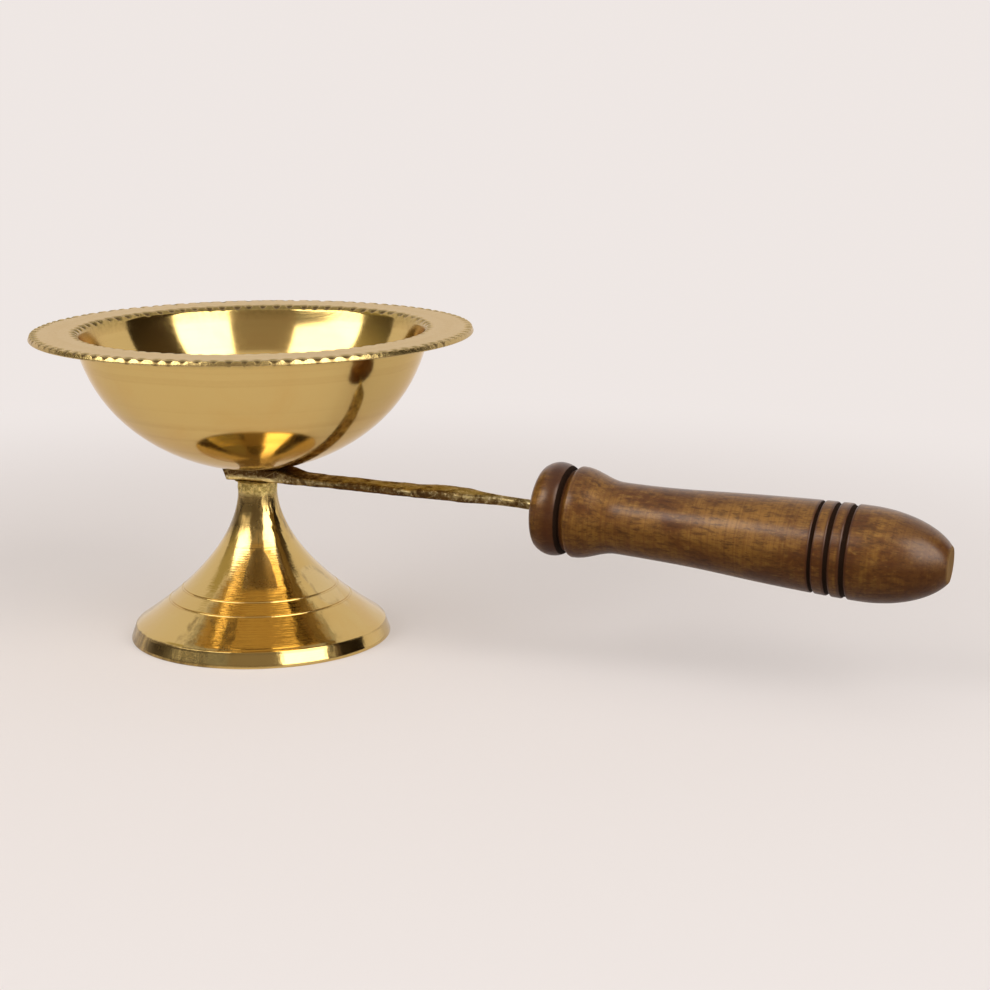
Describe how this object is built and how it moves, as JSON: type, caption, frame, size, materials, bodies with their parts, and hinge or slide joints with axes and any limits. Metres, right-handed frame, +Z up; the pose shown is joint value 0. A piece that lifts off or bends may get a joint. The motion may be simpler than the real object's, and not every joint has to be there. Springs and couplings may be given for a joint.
{
  "type": "aarti lamp",
  "caption": "Brass bowl lamp with a flat punched rim on a trumpet foot, carried by a flat strap and a turned wooden grip with burnt grooves.",
  "frame": {"origin": "centre of the foot's resting plane", "axes": "+Z up along the axis of bowl and foot, +X towards the grip"},
  "size_m": [0.2298, 0.11, 0.0788],
  "materials": {
    "bowl_brass": "spun and polished",
    "foot_brass": "turned and polished",
    "strap_brass": "filed, dark with patina",
    "screw_brass": "plain",
    "nut_steel": "plain zinc",
    "grip_wood": "satin varnish over turned hardwood"
  },
  "bodies": {
    "root": {"bowl": "bowl_brass", "bowl_screw": "screw_brass", "head_washer": "screw_brass", "handle_strap": "strap_brass", "pedestal": "foot_brass", "seat_washer": "nut_steel", "lock_washer": "nut_steel", "hex_nut": "nut_steel", "wooden_handle": "grip_wood"}
  },
  "joints": []
}
